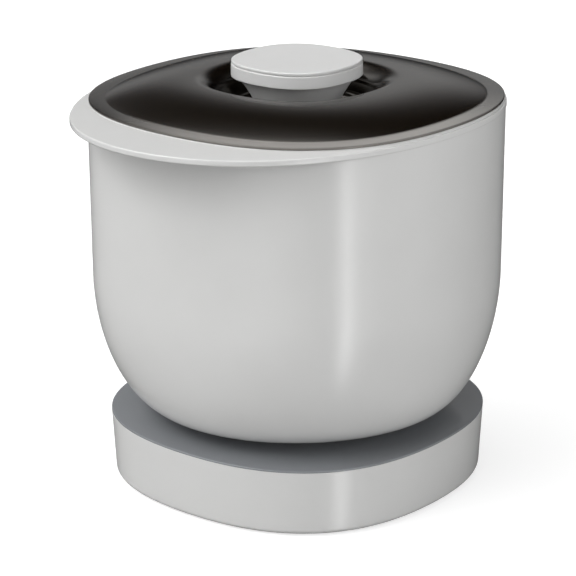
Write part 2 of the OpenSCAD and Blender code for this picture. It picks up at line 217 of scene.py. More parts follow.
class FinishSettings(bpy.types.PropertyGroup):
    white: colour("White", "Moulded white of the bucket", (0.67, 0.67, 0.663))
    stand_white: colour("Stand White", "Moulded white of the stand", (0.65, 0.65, 0.643))
    knob_white: colour("Knob White", "Moulded white of the knob", (0.67, 0.67, 0.665))
    dark: colour("Dark Grey", "Moulded grey of the stand's plate", (0.215, 0.225, 0.238))
    smoke_gloss: colour("Smoke", "Polished smoke plastic over the dark inside", (0.0075, 0.0055, 0.0038))
    # real satin tone of the underside, and on the ledge the tone of painted light that fades from the front
    # to the back
    smoke_satin_and_painted_light: colour("Satin Smoke", "Fine-grained smoke of the ledge and underside", (0.3, 0.288, 0.272))
    orange: colour("Orange", "Silicone of the seal", (0.9, 0.26, 0.07))
    rubber: colour("Rubber", "Rubber of the pads and the washer", (0.02, 0.02, 0.02))
    steel: colour("Steel", "Zinc-plated steel of the screws", (0.6, 0.6, 0.62))
    cage: colour("Cage", "Clear smoke plastic of the desiccant cage", (0.34, 0.31, 0.28))


class StudioSettings(bpy.types.PropertyGroup):
    unit: length("Camera Unit", "Length in which the camera's distances are given", half_of("lid"))
    distance: number("Distance", "Distance from the aim point, in camera units", 12.7199)
    aim_height: number("Aim Height", "Height of the aim point, in camera units", 1.0)
    azimuth: angle("Azimuth", "How far the camera stands round to the right of the front", 39.0394)
    elevation: angle("Elevation", "How high the camera stands over the aim point", 18.6575)
    pitch: angle("Pitch", "How far the camera looks down", 18.7226)
    yaw: angle("Yaw", "How far the camera turns off the aim point", 0.2365)
    roll: angle("Roll", "How far the camera leans", -0.2139)
    focus: FloatProperty(name="Focal Length", description="Focal length on a 36 mm sensor",
                         default=152.04, unit="CAMERA")
    floor_radius: length("Floor Radius", "Radius of the floor", 12.0)


SETTINGS = {
    "bucket_shared": SharedSettings, "bucket_body": BucketSettings, "bucket_lid": LidSettings,
    "bucket_seal": SealSettings, "bucket_knob": KnobSettings, "bucket_stand": StandSettings,
    "bucket_finish": FinishSettings, "bucket_studio": StudioSettings,
}


def turns(around):
    """Angles of so many points round the axis, from its right side on."""
    return np.arange(around) * 2 * np.pi / around


def rows(half, height, reach=0.0, soft=0.0, lip=0.0, satin=0.0):
    """Rings of a profile, one row each: half width, height, corner reach, softness of the corner there,
    radius of the round that forms the grip lip, and share of the satin finish."""
    columns = [np.atleast_1d(column) for column in (half, height, reach, soft, lip, satin)]
    return np.column_stack(np.broadcast_arrays(*columns))


def softened(profile, steps, closed=False):
    """Rounds the corners of a profile. A corner with a softness is replaced by a parabola that leaves one
    neighbouring edge and joins the other at that distance. One more ring, a little further along each
    edge, keeps the rest of the edge flat. Both stay short of the edge's middle."""
    further = 1.6
    near_limit = 0.45
    far_limit = 0.49
    result = []
    count = len(profile)
    way = np.linspace(0, 1, steps + 1)[:, None]
    for i, corner in enumerate(profile):
        soft = corner[SOFT]
        if soft == 0 or (not closed and i in (0, count - 1)):
            result.append(corner[None])
            continue
        sides = []
        for other in (profile[i - 1], profile[(i + 1) % count]):
            edge = other - corner
            share = soft / np.hypot(edge[HALF], edge[HEIGHT])
            near = corner + edge * min(share, near_limit)
            far = corner + edge * min(further * share, far_limit)
            sides.append((near, far))
        (start, before), (end, after) = sides
        curve = (1 - way) ** 2 * start + 2 * way * (1 - way) * corner + way ** 2 * end
        result += [before[None], curve, after[None]]
    return np.vstack(result)


def ring_points(profile, around, reach_of=None):
    """Points of a shell on a grid. At each angle the distance from the axis is the half width times one plus
    the corner reach, which goes from nothing at the flats to its full share at the corners as
    (1 - cos 4 angle) / 2. reach_of may push the distance further out, as at the grip lip."""
    turn = turns(around)
    half, height, reach = (profile[:, [column]] for column in (HALF, HEIGHT, REACH))
    distance = half * (1 + reach * (1 - np.cos(4 * turn)) / 2)
    if reach_of:
        distance = reach_of(profile, turn, distance)
    return np.stack([distance * np.cos(turn), distance * np.sin(turn), height + 0 * distance], axis=-1)


def faces_between(low, high):
    """Faces between rings, from the point numbers of each lower and each upper ring."""
    return np.stack([low, np.roll(low, -1, 1), np.roll(high, -1, 1), high], axis=-1).reshape(-1, 4)


def skin(name, grid, satin=None):
    """A mesh from a grid of rings. Where the first and last ring lie on the axis they become poles,
    and otherwise the profile runs round into itself. The profile goes outwards below and comes back above,
    so that the faces look outwards."""
    poles = np.ptp(grid[0], axis=0).max() == 0
    count, around = grid.shape[:2]
    if poles:
        points = np.vstack([grid[1:-1].reshape(-1, 3), grid[0, :1], grid[-1, :1]])
        index = np.arange((count - 2) * around).reshape(-1, around)
        quads = faces_between(index[:-1], index[1:])
    else:
        points = grid.reshape(-1, 3)
        index = np.arange(count * around).reshape(-1, around)
        quads = faces_between(index, np.roll(index, -1, axis=0))
    corners, sizes = [quads.ravel()], [np.full(len(quads), 4)]
    if poles:
        first, last = index[0], index[-1]
        foot, head = np.full(around, len(points) - 2), np.full(around, len(points) - 1)
        fans = np.concatenate([np.stack([foot, np.roll(first, -1), first], 1),
                               np.stack([last, np.roll(last, -1), head], 1)])
        corners.append(fans.ravel())
        sizes.append(np.full(len(fans), 3))
    corners, sizes = np.concatenate(corners), np.concatenate(sizes)
    mesh = bpy.data.meshes.new(name)
    mesh.vertices.add(len(points))
    mesh.vertices.foreach_set("co", points.astype(np.float32).ravel())
    mesh.loops.add(len(corners))
    mesh.loops.foreach_set("vertex_index", corners.astype(np.int32))
    mesh.polygons.add(len(sizes))
    mesh.polygons.foreach_set("loop_start", (np.cumsum(sizes) - sizes).astype(np.int32))
    mesh.polygons.foreach_set("use_smooth", np.ones(len(sizes), bool))
    mesh.update(calc_edges=True)
    mesh.set_sharp_from_angle(angle=SHARP)
    if satin is not None:
        attribute = mesh.attributes.new("satin", "FLOAT", "POINT")
        attribute.data.foreach_set("value", satin.astype(np.float32).ravel())
    piece = bpy.data.objects.new(name, mesh)
    bpy.context.scene.collection.objects.link(piece)
    return piece


def shell(name, profile, around, closed=False, reach_of=None):
    """A piece from a profile, with the corners softened and carried round the axis."""
    profile = softened(profile, bpy.context.scene.bucket_shared.edge_steps, closed)
    return skin(name, ring_points(profile, around, reach_of))


def dressed(piece, body, slot, *nodes):
    """Gives a piece its finish and its place in the frame."""
    piece.data.materials.append(material(slot))
    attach(piece, body)
    if nodes:
        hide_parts(*nodes)


def painted(node, slot):
    """Gives a CAD node its finish."""
    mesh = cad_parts[node].data
    mesh.materials.clear()
    mesh.materials.append(material(slot))


class Value:
    """An output of a shader node. Sums, differences and products of values add Math nodes."""

    def __init__(self, shader, socket):
        self.shader = shader
        self.socket = socket

    def __add__(self, other):
        return self.shader.maths("ADD", self, other)

    def __sub__(self, other):
        return self.shader.maths("SUBTRACT", self, other)

    def __rsub__(self, other):
        return self.shader.maths("SUBTRACT", other, self)

    def __mul__(self, other):
        return self.shader.maths("MULTIPLY", self, other)

    __radd__ = __add__
    __rmul__ = __mul__


class Shader:
    """The node tree of a material or a world, emptied and ready for nodes."""

    def __init__(self, owner):
        owner.use_nodes = True
        self.owner = owner
        self.tree = owner.node_tree
        self.tree.nodes.clear()

    def node(self, kind, settings=None, values=None, output=0):
        """Adds a node, sets its settings and its sockets, and returns one of its outputs."""
        node = self.tree.nodes.new(kind)
        for key, setting in (settings or {}).items():
            setattr(node, key, setting)
        for key, value in (values or {}).items():
            socket = node.inputs[key]
            if isinstance(value, Value):
                self.tree.links.new(value.socket, socket)
            elif hasattr(socket.default_value, "__len__"):
                socket.default_value = (*value, 1)[:len(socket.default_value)]
            else:
                socket.default_value = value
        return Value(self, node.outputs[output]) if node.outputs else None

    def maths(self, operation, first, second=0.0):
        """One step of maths on one or two values or numbers."""
        return self.node("ShaderNodeMath", {"operation": operation}, {0: first, 1: second})

    def noise(self, scale, detail):
        """Noise from 0 to 1 with a number of lumps per metre."""
        place = self.node("ShaderNodeTexCoord", output="Object")
        return self.node("ShaderNodeTexNoise", {}, {"Vector": place, "Scale": scale, "Detail": detail})

    def blend(self, share, first, second, mode="MIX"):
        """Mixes two colours."""
        return self.node("ShaderNodeMix", {"data_type": "RGBA", "blend_type": mode},
                         {0: share, 6: first, 7: second}, output=2)

    def bump(self, height, strength, depth):
        """Normal of a surface with a height from 0 to 1 on it, times a depth in metres."""
        return self.node("ShaderNodeBump", {}, {
            "Strength": strength, "Distance": depth, "Height": height}, output="Normal")


def start(name):
    """The empty shader of a new material."""
    return Shader(bpy.data.materials.new(name))


def finish(shader, base, roughness, normal, **constants):
    """Ends a material in a Principled shader. base, roughness and normal may vary over the surface,
    and the constants are set on the shader's own sockets."""
    values = {"Base Color": base, "Roughness": roughness, "Normal": normal}
    values.update({key.replace("_", " "): value for key, value in constants.items()})
    surface = shader.node("ShaderNodeBsdfPrincipled", {}, values)
    shader.node("ShaderNodeOutputMaterial", {}, {"Surface": surface})
    return shader.owner


def grain(shader, scale, strength, depth):
    """Bump of a fine moulded grain, with so many lumps per metre."""
    return shader.bump(shader.noise(scale, detail=2.0), strength, depth)


def between(value, low, high):
    """A value from 0 to 1 spread from low to high."""
    return value * (high - low) + low


def toned(base, factor):
    """A colour made darker or lighter, at most white."""
    return [min(1, channel * factor) for channel in base]


def moulded(name, base, rough, drift=0.03):
    """Satin moulded plastic: the colour drifts a little over some centimetres, the gloss varies over
    some millimetres, and a fine grain catches the light."""
    shader = start(name)
    cloud = shader.noise(scale=22.0, detail=2.0)
    smear = shader.noise(scale=90.0, detail=4.0)
    spread = 0.04
    tint = shader.blend(cloud, toned(base, 1 - drift), toned(base, 1 + drift))
    roughness = between(smear, rough - spread, rough + spread)
    return finish(shader, tint, roughness, grain(shader, scale=1400.0, strength=0.12, depth=0.00006))


def smoke_plastic(name, gloss, satin):
    """Smoke-tinted plastic: polished and dark over the inside, fine-grained and lighter on the ledge and
    underneath, by the piece's own satin attribute. On the ledge that attribute also holds painted light, so
    the ledge's lighter tone fades from the front to nothing at the back."""
    shader = start(name)
    satin_and_painted_light = shader.node("ShaderNodeAttribute", {"attribute_name": "satin"}, output="Fac")
    cloud = shader.noise(scale=30.0, detail=3.0)
    smear = shader.noise(scale=160.0, detail=4.0)
    cloudiness = 0.18
    polished = 0.07
    grained = 0.15
    spread = 0.05
    # the satin share blends in the lighter tone; on the ledge it is painted light, strongest at the front
    # and gone at the back
    tint = shader.blend(satin_and_painted_light, gloss, satin)
    warmer = shader.blend(1.0, tint, (1.25, 1.2, 1.15), "MULTIPLY")
    tint = shader.blend(cloud * cloudiness, tint, warmer)
    roughness = satin_and_painted_light * grained + smear * spread + polished
    bump = shader.bump(shader.noise(scale=1500.0, detail=1.0) * satin_and_painted_light, strength=0.12, depth=0.00004)
    return finish(shader, tint, roughness, bump, Specular_Tint=(1.0, 0.95, 0.87))


def silicone(name, base):
    """Soft satin silicone with a faint bloom."""
    shader = start(name)
    bloom = shader.noise(scale=60.0, detail=4.0)
    bloomed = [channel * 0.9 + 0.03 for channel in base]
    tint = shader.blend(bloom * 0.5, base, bloomed)
    roughness = between(shader.noise(scale=300.0, detail=3.0), 0.36, 0.48)
    return finish(shader, tint, roughness, grain(shader, scale=1800.0, strength=0.1, depth=0.00005),
                  Subsurface_Weight=0.08, Subsurface_Radius=(0.004, 0.0015, 0.0006))


def rubber(name, base):
    """Matt rubber with a fine speckle."""
    shader = start(name)
    speckle = shader.noise(scale=900.0, detail=4.0)
    tint = shader.blend(speckle, toned(base, 0.7), toned(base, 1.5))
    roughness = between(speckle, 0.6, 0.8)
    return finish(shader, tint, roughness, grain(shader, scale=1500.0, strength=0.3, depth=0.0001))


def plated_steel(name, base):
    """Zinc-plated steel with fine mottling."""
    shader = start(name)
    mottle = shader.noise(scale=700.0, detail=5.0)
    tint = shader.blend(mottle, toned(base, 0.85), base)
    roughness = between(mottle, 0.25, 0.45)
    return finish(shader, tint, roughness, grain(shader, scale=2500.0, strength=0.15, depth=0.00005),
                  Metallic=1.0)


def clear_plastic(name, base):
    """Clear smoke plastic, with thin swirls left by the flow of the melt."""
    shader = start(name)
    swirl = shader.noise(scale=120.0, detail=5.0)
    tint = shader.blend(swirl, toned(base, 0.88), toned(base, 1.1))
    roughness = between(swirl, 0.06, 0.14)
    return finish(shader, tint, roughness, grain(shader, scale=500.0, strength=0.05, depth=0.00008),
                  Transmission_Weight=0.75, IOR=1.5)


def material(slot):
    """The finish of a slot, made on first use."""
    name = slot + "_finish"
    if name in bpy.data.materials:
        return bpy.data.materials[name]
    paint = bpy.context.scene.bucket_finish
    makers = {
        "bucket_white": lambda: moulded(name, paint.white, rough=0.2),
        "stand_white": lambda: moulded(name, paint.stand_white, rough=0.22),
        "knob_white": lambda: moulded(name, paint.knob_white, rough=0.32),
        "stand_dark": lambda: moulded(name, paint.dark, rough=0.24, drift=0.06),
        "lid_smoke": lambda: smoke_plastic(name, paint.smoke_gloss, paint.smoke_satin_and_painted_light),
        "seal_orange": lambda: silicone(name, paint.orange),
        "pad_rubber": lambda: rubber(name, paint.rubber),
        "screw_steel": lambda: plated_steel(name, paint.steel),
        "cage_clear": lambda: clear_plastic(name, paint.cage),
    }
    return makers[slot]()


class BUCKET_OT_body(bpy.types.Operator):
    """Builds the white bucket with its rounded bottom, foot ring, rim flange and grip lip"""
    bl_idname = "bucket.body"
    bl_label = "Build Bucket"

    def lip(self, profile, turn, distance):
        """Distance with the grip lip, on the rings that have one: the round's own distance from the axis is
        the root of the radius squared less the shift's sideways part squared, less the shift's part along
        the angle. The larger of it and the plain distance is taken, with a soft passage between them."""
        size = bpy.context.scene.bucket_body
        radius = np.maximum(profile[:, [LIP]], size.lip_shift)
        lip = np.sqrt(radius ** 2 - (size.lip_shift * np.cos(turn)) ** 2) - size.lip_shift * np.sin(turn)
        gap = np.maximum(size.lip_blend - np.abs(distance - lip), 0) / size.lip_blend
        lipped = np.maximum(distance, lip) + gap ** 2 * size.lip_blend / 4
        return np.where(profile[:, [LIP]] > 0, lipped, distance)

    def round_rows(self, size, reach, thickness):
        """The rounded bottom from the underside up: a superellipse quarter, whose corners round off with
        depth, drawn inwards by the thickness."""
        turn = np.radians(np.linspace(90, 0, num=49))
        depth = np.sin(turn) ** (2 / size.round_fullness)
        round_z = size.under_height + size.round_height
        wall_foot = size.wall_half - (size.rim_height - round_z) * np.tan(size.wall_lean)
        half = size.bottom_half + (wall_foot - size.bottom_half) * np.cos(turn) ** (2 / size.round_fullness)
        corner = reach + (size.bottom_reach - reach) * depth ** size.reach_fade
        return rows(half - thickness, round_z - size.round_height * depth + thickness * depth, corner)

    def execute(self, context):
        size, shared = context.scene.bucket_body, context.scene.bucket_shared
        reach = shared.corner_reach
        under_z = size.under_height
        flange_top = size.rim_height - size.flange_drop
        flange_low = flange_top - size.flange
        mouth_half = size.wall_half - size.wall
        foot_in = size.foot_radius - size.foot_width
        ring_in_foot, ring_round_foot, floor_rings = 0.02, 0.07, [0.06, 0.03, 0]
        soft, lip, fine = size.flange_soft, size.lip_radius, 0.0004
        lip_start = lip - 2 * soft
        end_gap = 0.04
        up = np.linspace(end_gap, 1 - end_gap, num=12)[:, None]
        outer = self.round_rows(size, reach, 0)
        inner = self.round_rows(size, reach, size.wall)[::-1]
        wall_top = rows(size.wall_half, flange_low, reach)
        mouth = rows(mouth_half, size.rim_height, reach)
        side = outer[-1] + (wall_top - outer[-1]) * up
        inside = mouth + (inner[0] - mouth) * up
        profile = np.vstack([
            rows([0, ring_in_foot, foot_in], under_z, soft=[0, 0, fine]),
            rows([foot_in, size.foot_radius], size.foot_height, soft=fine),
            rows(size.foot_radius, under_z, soft=fine),
            rows(ring_round_foot, under_z, size.bottom_reach / 2),
            outer, side,
            rows(size.wall_half, flange_low, reach, soft=fine),
            rows(size.wall_half + size.flange_out / 4, flange_low, reach, lip=lip_start),
            rows(size.flange_half, [flange_low, flange_top], reach, soft=soft, lip=lip),
            rows(size.flange_half - soft, flange_top, reach, lip=lip_start),
            rows([mouth_half + size.land, mouth_half], size.rim_height, reach, soft=fine),
            inside, inner,
            rows(floor_rings, inner[-1, HEIGHT])])
        piece = shell("bucket_shell", profile, shared.around, reach_of=self.lip)
        dressed(piece, "base", "bucket_white", "bucket")
        return {"FINISHED"}


class BUCKET_OT_lid(bpy.types.Operator):
    """Builds the smoke lid with its ledge, dome, well, seal rib and step"""
    bl_idname = "bucket.lid"
    bl_label = "Build Lid"

    def dome_rows(self, size, reach, first, last, drop):
        """The dome between two half widths: it rises with the sine of a quarter turn of the way from the
        ledge to the crest, raised to a power below one, and lies the given drop below the top face."""
        half = np.linspace(first, last, num=48)
        ledge_z = bpy.context.scene.bucket_body.rim_height + size.edge + size.ledge_rise
        way = np.clip((size.ledge_half - half) / (size.ledge_half - size.crest_half), 0, 1)
        height = ledge_z + (size.crest_height - ledge_z) * np.sin(np.pi / 2 * way ** size.dome_start)
        return rows(half, height - drop, reach)

    def well_rows(self, size, reach, drop):
        """From the crest into the well: a quarter round roll, a drafted wall and a quarter round turn, with
        a corner reach that fades to nothing at the floor."""
        turn = np.radians(np.linspace(0, 90, num=17))
        roll = size.roll - drop
        roll_z = size.crest_height - size.roll + roll * np.cos(turn)
        roll_half = size.crest_half - roll * np.sin(turn)
        floor_radius = size.crest_half - size.roll - size.well_draft - size.floor_round
        bend = size.floor_round + drop
        turn_z = size.well_floor + size.floor_round - bend * np.cos(turn[::-1])
        turn_half = floor_radius + bend * np.sin(turn[::-1])
        half, height = np.append(roll_half, turn_half), np.append(roll_z, turn_z)
        fade = np.clip((height - size.well_floor) / (size.crest_height - size.well_floor), 0, 1)
        return rows(half, height, reach * fade)

    def satin(self, size, profile, around):
        """Share of the satin finish at each point, with painted light on the ledge: round the ledge the
        lighter satin tone is a smooth step of the cosine of the angle from the painted light's side, full at
        that side and nothing on the far half, so that the ledge looks lit at the front and shaded at the
        back."""
        fade_end = 0.1
        margin = 0.001
        # painted light: the ledge's lighter tone is strongest at the painted light's side and fades to none
        # at the back
        turn = turns(around) - (size.painted_light_side - np.pi / 2)
        way = np.clip((np.cos(turn) - fade_end) / (1 - fade_end), 0, 1)
        rim_z = bpy.context.scene.bucket_body.rim_height
        outside = profile[:, [HALF]] > size.ledge_half - margin
        above = profile[:, [HEIGHT]] > rim_z + size.edge / 2
        return profile[:, [SATIN]] * np.where(outside & above, way ** 2 * (3 - 2 * way), 1)

    def execute(self, context):
        scene = context.scene
        size, seal, shared = scene.bucket_lid, scene.bucket_seal, scene.bucket_shared
        reach, rim_z = shared.corner_reach, scene.bucket_body.rim_height
        hole_gap = 0.0003
        hole = scene.bucket_knob.spigot + hole_gap
        edge_z = rim_z + size.edge
        rib_out = seal.middle_half + size.rib / 2
        rib_in = rib_out - size.rib
        step_out = seal.inner_half - shared.fit
        step_in = step_out - size.step
        fine, soft = 0.0003, 0.0004
        ledge_in, ledge_up = 0.0012, 0.00018
        rib_satin, edge_satin = 0.6, 0.5
        under_dome = self.dome_rows(size, reach, step_in, size.crest_half, size.wall)[::-1]
        under_dome[:, SATIN] = 1
        under_well = self.well_rows(size, reach, size.wall)[::-1]
        top_dome = self.dome_rows(size, reach, size.ledge_half, size.crest_half, 0)
        top_dome[0, SOFT] = soft
        top_dome[0, SATIN] = 1
        top_well = self.well_rows(size, reach, 0)
        profile = np.vstack([
            rows(hole, size.well_floor - size.wall, soft=fine),
            under_well, under_dome[1:],
            rows([step_in, step_out], rim_z - size.step_depth, reach, soft=fine, satin=rib_satin),
            rows([step_out, rib_in], rim_z, reach, soft=fine, satin=rib_satin),
            rows([rib_in, rib_out], rim_z - size.rib_depth, reach, soft=fine, satin=rib_satin),
            rows(rib_out, rim_z, reach, soft=fine, satin=rib_satin),
            rows(size.lid_half, [rim_z, edge_z], reach, soft=soft, satin=edge_satin),
            rows(size.lid_half - ledge_in, edge_z + ledge_up, reach, satin=1),
            top_dome, top_well[1:],
            rows(hole, size.well_floor, soft=fine)])
        profile = softened(profile, shared.edge_steps, closed=True)
        # satin share of each point, with the ledge's painted light faded round from the front to the back
        satin = self.satin(size, profile, shared.around)
        piece = skin("lid_shell", ring_points(profile, shared.around), satin)
        dressed(piece, "lid", "lid_smoke", "lid")
        return {"FINISHED"}


class BUCKET_OT_seal(bpy.types.Operator):
    """Builds the orange silicone seal on the lid's rib"""
    bl_idname = "bucket.seal"
    bl_label = "Build Seal"

    def execute(self, context):
        scene = context.scene
        size, lid, shared = scene.bucket_seal, scene.bucket_lid, scene.bucket_shared
        reach, rim_z = shared.corner_reach, scene.bucket_body.rim_height
        low, seal_in = size.low_height, size.inner_half
        slot_out = size.middle_half + lid.rib / 2 + shared.fit
        slot_in = size.middle_half - lid.rib / 2 - shared.fit
        slot_z = rim_z - lid.rib_depth - shared.fit
        bevel = 0.0016
        profile = np.vstack([
            rows(seal_in + bevel, low, reach, soft=0.0005),
            rows(size.seal_half - size.nose, low, reach, soft=0.0012),
            rows(size.seal_half - size.nose_lift, low + size.nose_lift, reach, soft=0.001),
            rows(size.seal_half, low + size.nose, reach, soft=0.001),
            rows(size.seal_half, rim_z, reach, soft=0.0006),
            rows(slot_out, [rim_z, slot_z], reach, soft=0.0002),
            rows(slot_in, [slot_z, rim_z], reach, soft=0.0002),
            rows(seal_in, rim_z, reach, soft=0.0003),
            rows(seal_in, low + bevel, reach, soft=0.0007)])
        piece = shell("seal_ring", profile, shared.around, closed=True)
        dressed(piece, "lid", "seal_orange", "lid_seal")
        return {"FINISHED"}


class BUCKET_OT_knob(bpy.types.Operator):
    """Builds the knob's hollow body and its cap, and finishes its washer"""
    bl_idname = "bucket.knob"
    bl_label = "Build Knob"
    bevel = 0.0005

    def neck_rows(self, size, reach, thickness, foot_z):
        """The neck: its half width grows with a power of the way up, and its corner reach evenly."""
        way = np.linspace(0, 1, num=25)
        neck_top = size.knob_half - size.neck_inset
        half = size.neck_foot + (neck_top - size.neck_foot) * way ** size.neck_flare
        return rows(half - thickness, foot_z + (size.band_low - foot_z) * way, reach * way)

    def body_rows(self, size, reach):
        """Up the spigot, neck and band to the seam, and down again inside the hollow head."""
        lift, draft = 0.0002, 0.0001
        seam_z, side_half = size.seam_height, size.knob_half - draft
        neck = self.neck_rows(size, reach, 0, size.neck_height)
        neck[[0, -1], SOFT] = 0.0004, 0.0003
        hollow = self.neck_rows(size, reach, size.wall, size.neck_height + 2 * size.wall)[::-1]
        hollow[-1, SOFT] = 0.0005
        return np.vstack([
            rows([0, size.spigot], size.spigot_foot, soft=[0, 0.0005]),
            rows(size.spigot, size.neck_height, soft=0.0005),
            neck,
            rows(size.knob_half, size.band_low + lift, reach, soft=0.0007),
            rows(side_half, seam_z - self.bevel, reach, soft=0.0003),
            rows(side_half - self.bevel, seam_z, reach, soft=0.0001),
            rows(size.knob_half - size.wall, [seam_z, size.band_low + size.wall], reach, soft=0.0003),
            hollow, rows(0, hollow[-1, HEIGHT])])

    def cap_rows(self, size, shared):
        """The plug inside the head, the bevel along the seam and the flat top face."""
        reach, seam_z, top_z = shared.corner_reach, size.seam_height, size.cap_top
        inset = 0.0003
        cap_half = size.knob_half - inset
        plug_half = size.knob_half - size.wall - shared.fit
        top_rings = [cap_half * 0.7, cap_half * 0.35, 0]
        return np.vstack([
            rows([0, plug_half], foot_of("knob_cap"), reach, soft=[0, 0.0003]),
            rows([plug_half, cap_half - self.bevel], seam_z, reach, soft=0.0001),
            rows(cap_half, seam_z + self.bevel, reach, soft=0.0003),
            rows(cap_half, top_z, reach, soft=0.0008),
            rows(top_rings, top_z, [reach, reach, 0])])

    def execute(self, context):
        size, shared = context.scene.bucket_knob, context.scene.bucket_shared
        body = shell("knob_body", self.body_rows(size, shared.corner_reach), size.around)
        dressed(body, "lid", "knob_white", "knob")
        cap = shell("knob_top", self.cap_rows(size, shared), size.around)
        dressed(cap, "lid", "knob_white", "knob_cap")
        painted("knob_washer", "pad_rubber")
        return {"FINISHED"}


class BUCKET_OT_stand(bpy.types.Operator):
    """Builds the stand's white tray, its dark plate and the posts between them, and finishes its pads"""
    bl_idname = "bucket.stand"
    bl_label = "Build Stand"

    def side_half(self, size, height):
        """Half width of the side, which widens evenly from the tray's underside to the plate."""
        way = (height - size.tray_height) / (size.plate_low - size.tray_height)
        return size.stand_half - size.lean + size.lean * way

    def tray_rows(self, size, reach, floor_z):
        """Along the underside, round the quarter turn, up the side, and down again to the tray's floor."""
        turn = np.radians(np.linspace(0, 90, num=13))
        turn_z = size.tray_height + size.turn * (1 - np.cos(turn))
        turn_half = self.side_half(size, turn_z) - size.turn * (1 - np.sin(turn))
        side_z = np.linspace(turn_z[-1], size.plate_low, num=8)[1:-1]
        inner_z = floor_z + size.turn / 2
        inner_half = self.side_half(size, inner_z) - size.tray
        under_rings, floor_rings = [0, 0.05, 0.08], [0.05, 0]
        return np.vstack([
            rows(under_rings, size.tray_height, reach),
            rows(turn_half, turn_z, reach),
            rows(self.side_half(size, side_z), side_z, reach),
            rows([size.stand_half, size.stand_half - size.tray], size.plate_low, reach, soft=0.0003),
            rows(inner_half, inner_z, reach, soft=0.001),
            rows(inner_half - size.turn / 2, floor_z, reach, soft=0.001),
            rows(floor_rings, floor_z, reach)])

    def plate_rows(self, size, shared, under_z):
        """Along the underside, up inside the tray, over its rim, and in across the top to the disc."""
        reach = shared.corner_reach
        plate_in = self.side_half(size, under_z) - size.tray - shared.fit
        under_rings, top_rings, disc_rings = [0, 0.06], [0.095, 0.08, 0.065], [0.03, 0]
        return np.vstack([
            rows(under_rings, under_z, reach),
            rows(plate_in, [under_z, size.plate_low], reach, soft=0.0002),
            rows(size.stand_half, size.plate_low, reach, soft=0.0003),
            rows(size.stand_half, size.plate_top, reach, soft=0.0007),
            rows(top_rings, size.plate_top, reach),
            rows(size.locator_radius, size.plate_top, soft=0.0002),
            rows(size.locator_radius, size.locator_top, soft=0.0005),
            rows(disc_rings, size.locator_top)])

    def execute(self, context):
        size, shared = context.scene.bucket_stand, context.scene.bucket_shared
        floor_z = size.tray_height + size.tray
        under_z = size.plate_top - size.plate
        tray = shell("stand_tray", self.tray_rows(size, shared.corner_reach, floor_z), shared.around)
        dressed(tray, "base", "stand_white", "base_shell")
        plate = shell("stand_plate", self.plate_rows(size, shared, under_z), shared.around)
        dressed(plate, "base", "stand_dark", "base_top")
        self.posts(size, floor_z, under_z)
        for pad in PADS:
            painted(f"base_foot_{pad}", "pad_rubber")
        painted("base_screws", "screw_steel")
        return {"FINISHED"}

    def posts(self, size, floor_z, under_z):
        """Screw posts over the pads: tubes up from the tray and down from the plate that meet end to end."""
        sunk = 0.0005
        around = 48
        for pad in PADS:
            low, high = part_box(f"base_foot_{pad}")
            centre = np.array([(low.x + high.x) / 2, (low.y + high.y) / 2, 0])
            for part, slot, foot_z, head_z in (("tray", "stand_white", floor_z - sunk, size.post_low),
                                               ("plate", "stand_dark", size.post_low, under_z + sunk)):
                tube = rows([size.post_in, size.post_out, size.post_out, size.post_in],
                            [foot_z, foot_z, head_z, head_z])
                post = skin(f"{part}_post_{pad}", ring_points(tube, around) + centre)
                dressed(post, "base", slot)


class BUCKET_OT_cage(bpy.types.Operator):
    """Finishes the desiccant cage and the collar that carries it"""
    bl_idname = "bucket.cage"
    bl_label = "Finish Cage"

    def execute(self, context):
        for node in ("cage_collar", "desiccant_cage"):
            painted(node, "cage_clear")
        return {"FINISHED"}


